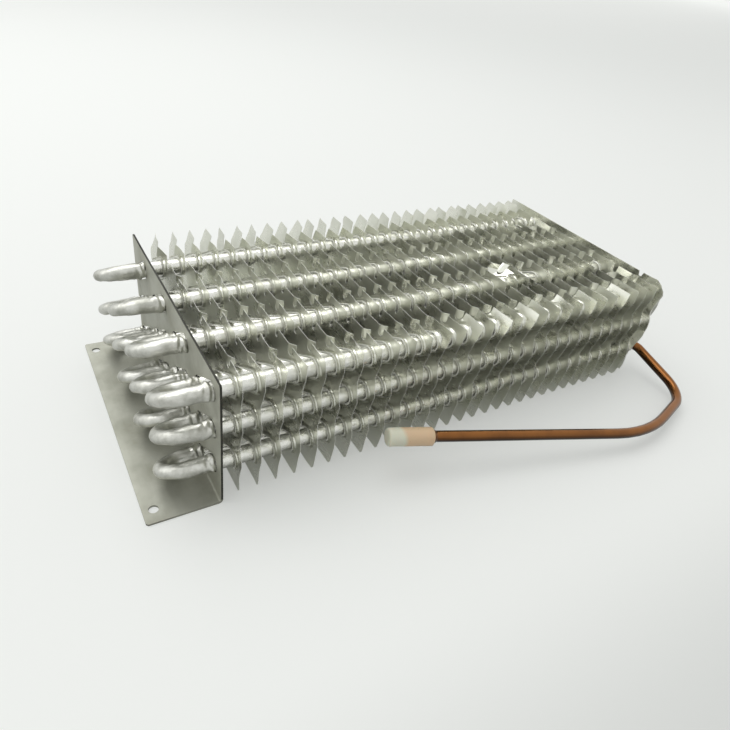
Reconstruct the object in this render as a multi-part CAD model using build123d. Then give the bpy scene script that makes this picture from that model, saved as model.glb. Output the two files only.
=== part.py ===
from build123d import *

import os
from math import atan2, cos, degrees, hypot, pi, sin, tan

# Finned tube evaporator for a refrigerator or freezer cabinet. One aluminium tube runs back and
# forth through a block of thin fins between two end plates. Every sheet has inclined slots, so the
# sheets can be pushed over the hairpin bends of the ready-bent tube.
#
# Frame, in mm: X along the tube's passes, Y from the front to the back, Z up. The origin is midway
# between the two screw holes of the foot, on its underside.

# Tube and its lattice
TUBE_OD = 8.0
TUBE_SIDES = 10
COLUMNS = 4
ROWS = 3
BEND_STEPS = 4
LEFT_BEND_STRAIGHT = 10.7
RIGHT_BEND_STRAIGHT = 1.0
OUTLET_LENGTH = 14.0

# Block of sheets
HEIGHT = 70.0
DEPTH = 148.5
PLATE_GAUGE = 1.0
FIN_GAUGE = 0.25
FIN_COUNT = 29
FIN_PITCH = 9.75
FIRST_LEG_INSET = 10.5
LAST_LEG_INSET = 6.4
TOP_LEG_INSET = 10.1
BOTTOM_LEG_INSET = 6.4
SLOT_CLEARANCE = 0.15

# Fin outline: waved front edge, cut back corners, and a notch behind each top tube
EDGE_WAVE = 2.6
WAVE_CREST_LIFT = 2.5
NOTCH_WIDTH = 4.7
NOTCH_DEPTH = 5.5
NOTCH_FROM_TUBE = 5.0
BACK_CORNER_DROP = 10.0

# Foot, folded out from the left end plate
FOOT_WIDTH = 34.0
FOOT_BEND_RADIUS = 0.4
HOLE_INSET = 5.0
HOLE_END_INSET = 7.75
HOLE_D = 4.6

# Copper pipe, its joint to the coil and its cap
PIPE_OD = 6.0
PIPE_SIDES = 10
PIPE_START_GAP = 1.5
PIPE_RADII = (6.5, 22.0, 85.0)
PIPE_TURN_FROM_PLATE = 11.0
PIPE_FORWARD_RUN = 47.75
PIPE_FORWARD_DRIFT = 1.4
PIPE_SIDE_RUN = 60.5
PIPE_SIDE_DRIFT = 18.65
PIPE_LOW_HEIGHT = 5.5
PIPE_SIDE_HEIGHT = 8.8
PIPE_TIP_FROM_SIDE_TURN = 162.2
PIPE_TIP_DRIFT = 43.3
PIPE_TIP_HEIGHT = 25.0
SLEEVE_OD = 9.4
SLEEVE_LENGTH = 4.5
FIT_GAP = 0.05
BELL_OD = 8.0
BELL_LENGTH = 17.0
BELL_CONE = 2.0
CAP_OD = 9.8
CAP_LENGTH = 24.6
CAP_END_WALL = 1.0
CAP_EMPTY_END = 7.0
CAP_EDGE = 0.8
CAP_SIDES = 12


def polygon_radius(diameter, sides):
    """Corner radius of the polygon that has the area of a round tube of this diameter."""
    return diameter / 2 * (2 * pi / (sides * sin(2 * pi / sides))) ** 0.5


def clear_radius(corner_radius, sides):
    """Corner radius of a bore that clears a polygon with this corner radius by the fit gap."""
    return corner_radius + FIT_GAP / cos(pi / sides)


# Derived places
TUBE_R = TUBE_OD / 2
POLYGON_R = polygon_radius(TUBE_OD, TUBE_SIDES)
PIPE_POLYGON_R = polygon_radius(PIPE_OD, PIPE_SIDES)
FRONT_Y = -DEPTH / 2
BACK_Y = DEPTH / 2
COLUMN_PITCH = (DEPTH - FIRST_LEG_INSET - LAST_LEG_INSET) / (COLUMNS - 0.5)
ROW_PITCH = (HEIGHT - TOP_LEG_INSET - BOTTOM_LEG_INSET) / (ROWS - 0.5)
LEFT_PLATE_X = FOOT_WIDTH - HOLE_INSET
RIGHT_PLATE_X = LEFT_PLATE_X + FIN_PITCH * (FIN_COUNT + 1)
RIGHT_FACE_X = RIGHT_PLATE_X + PLATE_GAUGE
HAIRPIN_RISE = ROW_PITCH / 2
HAIRPIN_RUN = COLUMN_PITCH / 2
SLOT_ANGLE = -degrees(atan2(HAIRPIN_RISE, HAIRPIN_RUN))
HAIRPIN_SPAN = hypot(HAIRPIN_RUN, HAIRPIN_RISE)
SLOT_WIDTH = 2 * (POLYGON_R + SLOT_CLEARANCE)
SHEET_PLANE = Plane(origin=(0, 0, 0), x_dir=(0, 1, 0), z_dir=(1, 0, 0))


def front_leg(column, row):
    """Centre (Y, Z) of the upper front leg of one hairpin."""
    y = FRONT_Y + FIRST_LEG_INSET + COLUMN_PITCH * column
    z = HEIGHT - TOP_LEG_INSET - ROW_PITCH * row
    return (y, z)


def back_leg(column, row):
    """Centre (Y, Z) of the lower back leg of the same hairpin."""
    y, z = front_leg(column, row)
    return (y + HAIRPIN_RUN, z - HAIRPIN_RISE)


def coil_legs():
    """Leg centres in the order the refrigerant meets them, from the copper joint to the outlet.

    The first column is climbed and the next one descended, and so on, so the coil ends at the
    bottom of the last column.
    """
    legs = []
    for column in range(COLUMNS):
        climbing = column % 2 == 0
        rows = reversed(range(ROWS)) if climbing else range(ROWS)
        for step, row in enumerate(rows):
            pair = [front_leg(column, row), back_leg(column, row)]
            if climbing and step % 2 == 1:
                pair.reverse()
            legs += pair
    return legs


def bend_corners(start, end, x, side):
    """Corners of one mitred half-turn from leg start to leg end, bulging to side (-1 or +1)."""
    middle = ((start[0] + end[0]) / 2, (start[1] + end[1]) / 2)
    radius = hypot(start[0] - end[0], start[1] - end[1]) / 2
    across = ((start[0] - middle[0]) / radius, (start[1] - middle[1]) / radius)
    step = pi / BEND_STEPS
    corner_radius = radius / cos(step / 2)
    corners = []
    for index in range(BEND_STEPS):
        angle = step * (index + 0.5)
        reach = corner_radius * sin(angle)
        offset = corner_radius * cos(angle)
        corners.append((x + side * reach, middle[0] + across[0] * offset, middle[1] + across[1] * offset))
    return corners


def coil_tube():
    """The one continuous tube: all passes, all bends and the plain round outlet end."""
    legs = coil_legs()
    left_x = LEFT_PLATE_X - LEFT_BEND_STRAIGHT
    right_x = RIGHT_FACE_X + RIGHT_BEND_STRAIGHT
    start = (RIGHT_FACE_X + PIPE_START_GAP, *legs[0])
    outlet_y, outlet_z = legs[-1]
    corners = [start]
    for index in range(len(legs) - 1):
        side, x = (-1, left_x) if index % 2 == 0 else (1, right_x)
        corners += bend_corners(legs[index], legs[index + 1], x, side)
    corners.append((right_x, outlet_y, outlet_z))
    section = Plane(origin=start, x_dir=(0, 1, 0), z_dir=(-1, 0, 0)) * RegularPolygon(POLYGON_R, TUBE_SIDES)
    tube = sweep(section, path=Polyline(*corners), transition=Transition.RIGHT)
    outlet_circle = Plane(origin=(right_x, outlet_y, outlet_z), z_dir=(1, 0, 0)) * Circle(TUBE_R)
    return tube + extrude(outlet_circle, OUTLET_LENGTH)


def slots(shape):
    """The shape of one inclined slot, placed round every hairpin."""
    places = []
    for column in range(COLUMNS):
        for row in range(ROWS):
            y, z = front_leg(column, row)
            places.append(Location((y + HAIRPIN_RUN / 2, z - HAIRPIN_RISE / 2), SLOT_ANGLE))
    return [place * shape for place in places]


def square_slot():
    """Fin slot with square ends."""
    return Rectangle(HAIRPIN_SPAN + SLOT_WIDTH, SLOT_WIDTH)


def pointed_slot():
    """End plate slot whose ends follow the tube more closely."""
    half = SLOT_WIDTH / 2
    shoulder = HAIRPIN_SPAN / 2 + half * tan(pi / 6)
    point = HAIRPIN_SPAN / 2 + half / cos(pi / 6)
    return Polygon(
        (-point, 0),
        (-shoulder, -half),
        (shoulder, -half),
        (point, 0),
        (shoulder, half),
        (-shoulder, half),
        align=None,
    )


def waved_edge():
    """Points of a fin's front edge from the bottom up, with a crest by each row of front legs."""
    inner = FRONT_Y + EDGE_WAVE
    points = [(inner, 0)]
    for row in reversed(range(ROWS)):
        crest = front_leg(0, row)[1] + WAVE_CREST_LIFT
        points.append((FRONT_Y, crest))
        if row > 0:
            points.append((inner, crest + ROW_PITCH / 2))
    points.append((inner, HEIGHT))
    return points


def fin_outline():
    """Fin outline in (Y, Z), with a notch in the top edge behind each top tube."""
    points = waved_edge()
    for column in range(COLUMNS):
        near = front_leg(column, 0)[0] + NOTCH_FROM_TUBE
        far = near + NOTCH_WIDTH
        floor = HEIGHT - NOTCH_DEPTH
        points += [(near, HEIGHT), (near, floor), (far, floor), (far, HEIGHT)]
    points += [
        (BACK_Y - EDGE_WAVE, HEIGHT),
        (BACK_Y, HEIGHT - BACK_CORNER_DROP),
        (BACK_Y, BACK_CORNER_DROP),
        (BACK_Y - EDGE_WAVE, 0),
    ]
    return points


def fin():
    """One fin, its left face at X = 0."""
    sheet = SHEET_PLANE * (Polygon(*fin_outline(), align=None) - slots(square_slot()))
    return extrude(sheet, FIN_GAUGE)


def sheet_slots(x, gauge):
    """Solid cutters for the slots of an end plate whose left face is at x."""
    cutters = Sketch() + slots(pointed_slot())
    return Pos(x - gauge, 0, 0) * extrude(SHEET_PLANE * cutters, 3 * gauge)


def left_end_plate():
    """Left end plate with its foot, folded from one sheet."""
    right = LEFT_PLATE_X + PLATE_GAUGE
    outer = LEFT_PLATE_X - FOOT_WIDTH
    section = Polygon(
        (outer, 0),
        (right, 0),
        (right, HEIGHT),
        (LEFT_PLATE_X, HEIGHT),
        (LEFT_PLATE_X, PLATE_GAUGE),
        (outer, PLATE_GAUGE),
        align=None,
    )
    fold_inside = section.vertices().sort_by_distance((LEFT_PLATE_X, PLATE_GAUGE, 0))[0]
    section = fillet(fold_inside, FOOT_BEND_RADIUS)
    fold_outside = section.vertices().sort_by_distance((right, 0, 0))[0]
    section = fillet(fold_outside, FOOT_BEND_RADIUS + PLATE_GAUGE)
    body = extrude(Plane.XZ.offset(-FRONT_Y) * section, DEPTH, dir=(0, 1, 0))
    body -= sheet_slots(LEFT_PLATE_X, PLATE_GAUGE)
    for y in (FRONT_Y + HOLE_END_INSET, BACK_Y - HOLE_END_INSET):
        body -= Pos(0, y, PLATE_GAUGE / 2) * Cylinder(HOLE_D / 2, 3 * PLATE_GAUGE)
    return body


def right_end_plate():
    """Right end plate, a flat sheet."""
    plate = Pos(RIGHT_PLATE_X + PLATE_GAUGE / 2, 0, HEIGHT / 2) * Box(PLATE_GAUGE, DEPTH, HEIGHT)
    return plate - sheet_slots(RIGHT_PLATE_X, PLATE_GAUGE)


def pipe_corners():
    """Corners of the copper pipe's centre line, from the coil to the tip of its cap."""
    joint_y, joint_z = coil_legs()[0]
    first_x = RIGHT_FACE_X + PIPE_TURN_FROM_PLATE
    second = Vector(first_x - PIPE_FORWARD_DRIFT, joint_y - PIPE_FORWARD_RUN, PIPE_LOW_HEIGHT)
    third = Vector(second.X - PIPE_SIDE_RUN, second.Y - PIPE_SIDE_DRIFT, PIPE_SIDE_HEIGHT)
    tip = Vector(third.X - PIPE_TIP_FROM_SIDE_TURN, third.Y + PIPE_TIP_DRIFT, PIPE_TIP_HEIGHT)
    return [
        Vector(RIGHT_FACE_X + PIPE_START_GAP, joint_y, joint_z),
        Vector(first_x, joint_y, joint_z),
        second,
        third,
        tip,
    ]


def bent_path(corners, radii):
    """Straight runs between the corners, joined by tangent arcs of the given radii."""
    edges = []
    start = corners[0]
    for before, corner, after, radius in zip(corners, corners[1:], corners[2:], radii):
        back = (before - corner).normalized()
        ahead = (after - corner).normalized()
        half = ahead.get_angle(back) / 2 * pi / 180
        trim = radius * cos(half) / sin(half)
        toward_centre = (back + ahead).normalized()
        middle = corner + toward_centre * (radius / sin(half) - radius)
        edges.append(Edge.make_line(start, corner + back * trim))
        edges.append(Edge.make_three_point_arc(corner + back * trim, middle, corner + ahead * trim))
        start = corner + ahead * trim
    edges.append(Edge.make_line(start, corners[-1]))
    return Wire(edges)


def pipe_end():
    """Plane at the pipe's open end, with its Z axis along the pipe toward the cap's tip."""
    corners = pipe_corners()
    ahead = (corners[-1] - corners[-2]).normalized()
    origin = corners[-1] - ahead * (CAP_END_WALL + CAP_EMPTY_END)
    return Plane(origin=origin, z_dir=ahead)


def copper_pipe():
    """Bent copper pipe whose free end is widened to take the next pipe."""
    end = pipe_end()
    corners = pipe_corners()
    corners[-1] = end.origin
    path = bent_path(corners, PIPE_RADII)
    start = Plane(origin=corners[0], x_dir=(0, 1, 0), z_dir=(1, 0, 0))
    section = start * RegularPolygon(PIPE_POLYGON_R, PIPE_SIDES)
    pipe = sweep(section, path=path)
    cone_start = -BELL_LENGTH - BELL_CONE
    profile = Polygon(
        (0, cone_start),
        (PIPE_OD / 2, cone_start),
        (BELL_OD / 2, -BELL_LENGTH),
        (BELL_OD / 2, 0),
        (0, 0),
        align=None,
    )
    bell = revolve(Plane.XZ * profile, Axis.Z)
    return pipe + end * bell


def joint_sleeve():
    """Sleeve over the butted ends of the aluminium tube and the copper pipe."""
    seat = Plane(origin=(RIGHT_FACE_X, *coil_legs()[0]), x_dir=(0, 1, 0), z_dir=(1, 0, 0))
    outside = RegularPolygon(polygon_radius(SLEEVE_OD, TUBE_SIDES), TUBE_SIDES)
    over_tube = RegularPolygon(clear_radius(POLYGON_R, TUBE_SIDES), TUBE_SIDES)
    over_pipe = RegularPolygon(clear_radius(PIPE_POLYGON_R, PIPE_SIDES), PIPE_SIDES)
    sleeve = extrude(outside, SLEEVE_LENGTH)
    sleeve -= extrude(over_tube, PIPE_START_GAP)
    sleeve -= extrude(over_pipe, SLEEVE_LENGTH)
    return seat * sleeve


def pipe_cap():
    """Plastic cap over the widened end, with an empty length beyond the copper."""
    end = pipe_end()
    tip = CAP_END_WALL + CAP_EMPTY_END
    mouth = end * Plane.XY.offset(tip - CAP_LENGTH)
    outside = RegularPolygon(polygon_radius(CAP_OD, CAP_SIDES), CAP_SIDES)
    bore = RegularPolygon((BELL_OD / 2 + FIT_GAP) / cos(pi / CAP_SIDES), CAP_SIDES)
    cap = extrude(outside, CAP_LENGTH - CAP_EDGE)
    cap += extrude(Pos(0, 0, CAP_LENGTH - CAP_EDGE) * outside, CAP_EDGE, taper=45)
    cap -= extrude(bore, CAP_LENGTH - CAP_END_WALL)
    return mouth * cap


def nodes():
    """Every physical piece by its node name."""
    pieces = {
        "left_end_plate": left_end_plate(),
        "right_end_plate": right_end_plate(),
        "coil_tube": coil_tube(),
        "copper_pipe": copper_pipe(),
        "joint_sleeve": joint_sleeve(),
        "pipe_cap": pipe_cap(),
    }
    sheet = fin()
    for number in range(1, FIN_COUNT + 1):
        x = LEFT_PLATE_X + FIN_PITCH * number
        pieces[f"fin_{number:02d}"] = Pos(x, 0, 0) * sheet
    return pieces


def main():
    """Write one STEP file for each piece."""
    os.makedirs("parts", exist_ok=True)
    for name, piece in nodes().items():
        export_step(piece, f"parts/{name}.step")


if __name__ == "__main__":
    main()
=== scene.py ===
import logging
import random
from collections.abc import Callable
from dataclasses import dataclass, field
from math import ceil, cos, pi, radians, sin, sqrt, tan

import bmesh
import bpy
from mathutils import Euler, Matrix, Vector, noise
from mathutils.geometry import delaunay_2d_cdt


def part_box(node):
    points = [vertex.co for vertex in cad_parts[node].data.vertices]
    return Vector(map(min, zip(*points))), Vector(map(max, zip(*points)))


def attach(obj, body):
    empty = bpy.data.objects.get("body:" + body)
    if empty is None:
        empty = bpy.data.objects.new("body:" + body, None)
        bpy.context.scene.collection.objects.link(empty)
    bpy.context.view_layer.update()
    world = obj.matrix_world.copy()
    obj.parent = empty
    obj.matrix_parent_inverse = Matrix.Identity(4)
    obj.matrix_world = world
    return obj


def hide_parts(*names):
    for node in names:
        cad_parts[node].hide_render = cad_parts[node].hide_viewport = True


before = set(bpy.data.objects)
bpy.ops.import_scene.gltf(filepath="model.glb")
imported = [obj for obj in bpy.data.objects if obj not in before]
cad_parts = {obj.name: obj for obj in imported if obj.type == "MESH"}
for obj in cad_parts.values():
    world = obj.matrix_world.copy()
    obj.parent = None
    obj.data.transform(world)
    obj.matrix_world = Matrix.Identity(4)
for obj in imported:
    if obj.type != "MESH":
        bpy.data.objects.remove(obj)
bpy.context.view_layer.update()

logging.basicConfig(level=logging.INFO, format="%(message)s")
log = logging.getLogger("evaporator")

MM = 0.001
CRISP_ANGLE = radians(40)
Color = tuple[float, float, float]
Face = tuple[int, ...]
Corners = tuple[tuple[float, float], ...]


class Graph:
    """A node tree that takes each node together with its settings and links."""

    def __init__(self, tree: bpy.types.NodeTree) -> None:
        """Wrap a tree."""
        self.tree = tree

    def node(self, kind: str, inputs: dict | None = None, **settings: object) -> bpy.types.Node:
        """Add a node.

        Args:
            kind: Type of the node.
            inputs: For each input, by name or number, its value or the socket that feeds it.
            settings: The node's own settings, such as its operation.

        Returns:
            The new node.
        """
        node = self.tree.nodes.new(kind)
        for label, value in settings.items():
            setattr(node, label, value)
        self.feed(node, inputs or {})
        return node

    def feed(self, node: bpy.types.Node, inputs: dict) -> None:
        """Set or link a node's inputs.

        Args:
            node: The node.
            inputs: For each input, by name or number, its value or the socket that feeds it.
        """
        for label, value in inputs.items():
            if isinstance(value, bpy.types.NodeSocket):
                self.tree.links.new(value, node.inputs[label])
            else:
                node.inputs[label].default_value = value

    def math(self, operation: str, *values: object) -> bpy.types.NodeSocket:
        """The result of a math node on some values or sockets."""
        return self.node("ShaderNodeMath", dict(enumerate(values)), operation=operation).outputs[0]

    def span(
        self, value: bpy.types.NodeSocket, source: tuple = (0.0, 1.0), target: tuple = (0.0, 1.0), ease: bool = False
    ) -> bpy.types.NodeSocket:
        """Map a value from one range to another, held at both ends.

        Args:
            value: The value.
            source: Both ends of its own range.
            target: What the two ends become.
            ease: Whether the change is a smooth step.

        Returns:
            The mapped value.
        """
        inputs = {
            "Value": value, "From Min": source[0], "From Max": source[1], "To Min": target[0], "To Max": target[1],
        }
        kind = "SMOOTHSTEP" if ease else "LINEAR"
        return self.node("ShaderNodeMapRange", inputs, interpolation_type=kind).outputs["Result"]

    def mix_color(self, share: bpy.types.NodeSocket, first: Color, second: Color) -> bpy.types.NodeSocket:
        """A mix of two colours, the second where the share is 1."""
        inputs = {"A": (*first, 1.0), "B": (*second, 1.0), "Factor": share}
        return self.node("ShaderNodeMix", inputs, data_type="RGBA").outputs["Result"]


def start_material(name: str) -> tuple[bpy.types.Material, Graph, bpy.types.Node]:
    """Start a material.

    Args:
        name: Name of the material.

    Returns:
        The material, its graph and its main shader.
    """
    material = bpy.data.materials.new(name)
    material.use_nodes = True
    return material, Graph(material.node_tree), material.node_tree.nodes["Principled BSDF"]


class NodeGroups:
    """The effects that more than one finish uses, each built once as a shader node group."""

    def __init__(self) -> None:
        """Build the groups."""
        self.mill = self._mill_grain()
        self.smudge = self._smudges()

    @staticmethod
    def _new(name: str, inputs: dict[str, object], outputs: tuple[str, ...]) -> tuple:
        """Start a group.

        Args:
            name: Name of the group.
            inputs: Name and default of each input, a vector where the default is one.
            outputs: Name of each output.

        Returns:
            The tree, its input node and its output node.
        """
        tree = bpy.data.node_groups.new(name, "ShaderNodeTree")
        for label, default in inputs.items():
            kind = "NodeSocketVector" if isinstance(default, tuple) else "NodeSocketFloat"
            socket = tree.interface.new_socket(label, in_out="INPUT", socket_type=kind)
            socket.default_value = default
        for label in outputs:
            tree.interface.new_socket(label, in_out="OUTPUT", socket_type="NodeSocketFloat")
        return tree, tree.nodes.new("NodeGroupInput"), tree.nodes.new("NodeGroupOutput")

    def _mill_grain(self) -> bpy.types.NodeTree:
        """Build the group of fine drawn lines, stretched along one axis.

        Returns:
            The group, which puts out a height and a mask.
        """
        inputs = {"Stretch": (0.0, 0.0, 0.0), "Scale": 400.0, "Detail": 3.0}
        tree, enter, leave = self._new("mill_grain", inputs, ("Height", "Mask"))
        graph = Graph(tree)
        place = graph.node("ShaderNodeTexCoord").outputs["Object"]
        stretched = graph.node("ShaderNodeVectorMath", {0: place, 1: enter.outputs["Stretch"]}, operation="MULTIPLY")
        grain = graph.node(
            "ShaderNodeTexNoise",
            {"Vector": stretched.outputs[0], "Scale": enter.outputs["Scale"], "Detail": enter.outputs["Detail"]},
        ).outputs["Fac"]
        graph.feed(leave, {"Height": grain, "Mask": graph.span(grain, (0.35, 0.65))})
        return tree

    def _smudges(self) -> bpy.types.NodeTree:
        """Build the group of large soft patches of dulled metal.

        Returns:
            The group, which puts out a mask.
        """
        tree, enter, leave = self._new("smudges", {"Scale": 40.0, "From": 0.4, "To": 0.7}, ("Mask",))
        graph = Graph(tree)
        place = graph.node("ShaderNodeTexCoord").outputs["Object"]
        patches = graph.node(
            "ShaderNodeTexNoise", {"Vector": place, "Scale": enter.outputs["Scale"], "Detail": 4.0, "Roughness": 0.6}
        )
        ends = (enter.outputs["From"], enter.outputs["To"])
        graph.feed(leave, {"Mask": graph.span(patches.outputs["Fac"], ends)})
        return tree


@dataclass(frozen=True)
class MetalFinish:
    """Metal with drawn grain, soft smudges, uneven gloss and painted shade where it faces down.

    Attributes:
        name: Name of the material.
        color: Colour of the clean metal.
        dull_color: Colour of the smudges.
        roughness: Roughness of the clean and of the smudged metal.
        stretch: Scale of the grain along each axis.
        grain_scale: Fineness of the grain.
        grain_depth: Depth of the grain, in metres.
        smudge_scale: Fineness of the smudges.
        metallic: How metallic the surface is.
        coat: Weight of the lacquer.
        down_shade: Share of the colour that is left where the surface faces down, which paints shade there.
        down_shade_span: Slope (Z of the normal) over which this painted shade fades out.
    """

    name: str
    color: Color
    dull_color: Color
    roughness: tuple[float, float]
    stretch: tuple[float, float, float]
    grain_scale: float
    grain_depth: float
    smudge_scale: float = 45.0
    metallic: float = 1.0
    coat: float = 0.0
    down_shade: float = 1.0
    down_shade_span: tuple[float, float] = (-0.5, 0.6)
    grain_gloss: float = 0.35
    bump_strength: float = 0.5
    coat_roughness: float = 0.12

    def build(self, groups: NodeGroups) -> bpy.types.Material:
        """Make the material.

        Args:
            groups: The shared effects.

        Returns:
            The finished material.
        """
        material, graph, shader = start_material(self.name)
        lines = {"Stretch": self.stretch, "Scale": self.grain_scale}
        grain = graph.node("ShaderNodeGroup", lines, node_tree=groups.mill)
        smudge = graph.node("ShaderNodeGroup", {"Scale": self.smudge_scale}, node_tree=groups.smudge).outputs["Mask"]
        dullness = graph.math("MULTIPLY_ADD", grain.outputs["Mask"], self.grain_gloss, smudge)
        relief = {
            "Strength": self.bump_strength, "Distance": self.grain_depth, "Height": grain.outputs["Height"],
        }
        tint = graph.mix_color(smudge, self.color, self.dull_color)
        graph.feed(shader, {
            "Metallic": self.metallic,
            "Coat Weight": self.coat,
            "Coat Roughness": self.coat_roughness,
            "Base Color": self._down_shade(graph, tint),
            "Roughness": graph.span(dullness, target=self.roughness),
            "Normal": graph.node("ShaderNodeBump", relief).outputs["Normal"],
        })
        return material

    def _down_shade(self, graph: Graph, color: bpy.types.NodeSocket) -> bpy.types.NodeSocket:
        """Darken the colour where the surface faces down, as painted shade.

        Args:
            graph: The material's graph.
            color: The colour.

        Returns:
            The darkened colour.
        """
        # Painted shade: the colour is scaled down where the normal points down.
        facing = graph.node("ShaderNodeNewGeometry").outputs["Normal"]
        slope = graph.node("ShaderNodeSeparateXYZ", {0: facing}).outputs["Z"]
        shade = graph.span(slope, self.down_shade_span, (self.down_shade, 1.0))
        return graph.node("ShaderNodeVectorMath", {0: color, "Scale": shade}, operation="SCALE").outputs[0]


@dataclass(frozen=True)
class CapFinish:
    """Milky soft plastic that lets light through, tinted where the copper is inside it."""

    name: str = "cap_plastic"
    color: Color = (0.96, 0.66, 0.43)
    clear_color: Color = (0.98, 0.93, 0.73)
    roughness: tuple[float, float] = (0.22, 0.42)
    split_blur: float = 1.2 * MM
    cloud_scale: float = 260.0
    cloud_depth: float = 0.1 * MM
    transmission: float = 0.12
    ior: float = 1.45
    scatter: float = 0.4
    scatter_radius: Color = (1.0, 0.7, 0.6)
    scatter_scale: float = 2 * MM

    def build(self, split: float) -> bpy.types.Material:
        """Make the material.

        Args:
            split: X, in metres, at which the copper inside ends.

        Returns:
            The finished material.
        """
        material, graph, shader = start_material(self.name)
        place = graph.node("ShaderNodeTexCoord").outputs["Object"]
        x = graph.node("ShaderNodeSeparateXYZ", {0: place}).outputs["X"]
        cloud = graph.node("ShaderNodeTexNoise", {"Vector": place, "Scale": self.cloud_scale}).outputs["Fac"]
        filled = graph.span(x, (split - self.split_blur, split + self.split_blur))
        relief = graph.node("ShaderNodeBump", {"Distance": self.cloud_depth, "Height": cloud})
        graph.feed(shader, {
            "Transmission Weight": self.transmission,
            "IOR": self.ior,
            "Subsurface Weight": self.scatter,
            "Subsurface Radius": self.scatter_radius,
            "Subsurface Scale": self.scatter_scale,
            "Base Color": graph.mix_color(filled, self.clear_color, self.color),
            "Roughness": graph.span(cloud, target=self.roughness),
            "Normal": relief.outputs["Normal"],
        })
        return material


class Finishes:
    """Every material of the scene, by what it dresses."""

    def __init__(self) -> None:
        """Build the materials."""
        groups = NodeGroups()
        even = (1.0, 1.0, 1.0)
        self.fin = MetalFinish(
            "fin_foil", (0.87, 0.875, 0.79), (0.78, 0.79, 0.705), (0.22, 0.38), (1.0, 0.08, 1.0), 700.0, 0.02 * MM,
        ).build(groups)
        # Lighter, less metallic copy of the foil on the cut edges, lobe steps and collar lips: partly bare cut metal,
        # partly painted highlight.
        self.fin_edge_highlight = MetalFinish(
            "fin_painted_highlight", (0.97, 0.97, 0.92), (0.92, 0.92, 0.86), (0.22, 0.40), even, 900.0, 0.01 * MM,
            metallic=0.35,
        ).build(groups)
        # The tube and the bends are painted darker where they face down: painted shade.
        self.tube = MetalFinish(
            "tube_aluminium", (0.90, 0.90, 0.85), (0.80, 0.80, 0.74), (0.18, 0.38), (0.6, 1.0, 1.0), 650.0, 0.7 * MM,
            smudge_scale=160.0, down_shade=0.55,
        ).build(groups)
        self.bend = MetalFinish(
            "bend_aluminium", (0.74, 0.74, 0.69), (0.44, 0.44, 0.39), (0.28, 0.50), (0.5, 1.0, 1.0), 420.0, 0.6 * MM,
            smudge_scale=130.0, down_shade=0.8,
        ).build(groups)
        self.plate = MetalFinish(
            "plate_aluminium", (0.50, 0.505, 0.44), (0.385, 0.385, 0.32), (0.46, 0.62), (1.0, 0.05, 1.0), 800.0,
            0.03 * MM, metallic=0.75,
        ).build(groups)
        # Near-black cut edge of the left plate: painted shade for its dark reflections and the shadow between the
        # plate and the collars.
        self.plate_edge_shade = MetalFinish(
            "plate_rim_painted_dark", (0.07, 0.07, 0.06), (0.04, 0.04, 0.035), (0.45, 0.65), even, 900.0, 0.02 * MM,
        ).build(groups)
        self.foot_edge = MetalFinish(
            "foot_cut_edge", (0.36, 0.36, 0.31), (0.26, 0.26, 0.22), (0.40, 0.60), even, 900.0, 0.02 * MM,
        ).build(groups)
        # The copper is painted almost black where it faces down: painted shade for its shadowed lower side.
        self.copper = MetalFinish(
            "lacquered_copper", (0.31, 0.118, 0.026), (0.20, 0.074, 0.017), (0.08, 0.20), (0.1, 1.0, 1.0), 900.0,
            0.02 * MM, coat=0.35, down_shade=0.08, down_shade_span=(-0.2, 0.95),
        ).build(groups)
        self.cap = CapFinish()


@dataclass(frozen=True)
class Lattice:
    """The block's frame: where the legs, sheets and rows are, in metres."""

    columns: int = 4
    rows: int = 3
    height: float = 70 * MM
    depth: float = 148.5 * MM
    first_inset: float = 10.5 * MM
    last_inset: float = 6.4 * MM
    top_inset: float = 10.1 * MM
    bottom_inset: float = 6.4 * MM
    tube_radius: float = 4 * MM
    fin_count: int = 29
    fin_pitch: float = 9.75 * MM

    @property
    def length(self) -> float:
        """Distance between the end plates' left faces."""
        return self.fin_pitch * (self.fin_count + 1)

    @property
    def column_pitch(self) -> float:
        """Distance between columns of hairpins."""
        return (self.depth - self.first_inset - self.last_inset) / (self.columns - 0.5)

    @property
    def row_pitch(self) -> float:
        """Distance between rows of hairpins."""
        return (self.height - self.top_inset - self.bottom_inset) / (self.rows - 0.5)

    @property
    def front(self) -> float:
        """Y of the sheets' front edge."""
        return -self.depth / 2

    @property
    def back(self) -> float:
        """Y of the sheets' back edge."""
        return self.depth / 2

    def upper(self, column: int, row: int) -> Vector:
        """Centre (Y, Z) of a hairpin's upper front leg."""
        y = self.front + self.first_inset + self.column_pitch * column
        return Vector((y, self.height - self.top_inset - self.row_pitch * row))

    def lower(self, column: int, row: int) -> Vector:
        """Centre (Y, Z) of a hairpin's lower back leg."""
        return self.upper(column, row) + Vector((self.column_pitch / 2, -self.row_pitch / 2))

    def hairpins(self) -> list[tuple[Vector, Vector]]:
        """Both leg centres of each hairpin."""
        places = [(column, row) for column in range(self.columns) for row in range(self.rows)]
        return [(self.upper(*place), self.lower(*place)) for place in places]

    def legs(self) -> list[Vector]:
        """List the legs in the order of the flow, from the copper joint to the outlet.

        Returns:
            Their centres (Y, Z).
        """
        legs = []
        for column in range(self.columns):
            climbing = column % 2 == 0
            rows = list(range(self.rows))
            if climbing:
                rows.reverse()
            for step, row in enumerate(rows):
                pair = [self.upper(column, row), self.lower(column, row)]
                if climbing and step % 2 == 1:
                    pair.reverse()
                legs += pair
        return legs


def smooth(value: float) -> float:
    """A smooth step from 0 to 1."""
    value = min(max(value, 0.0), 1.0)
    return value * value * (3 - 2 * value)


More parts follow.
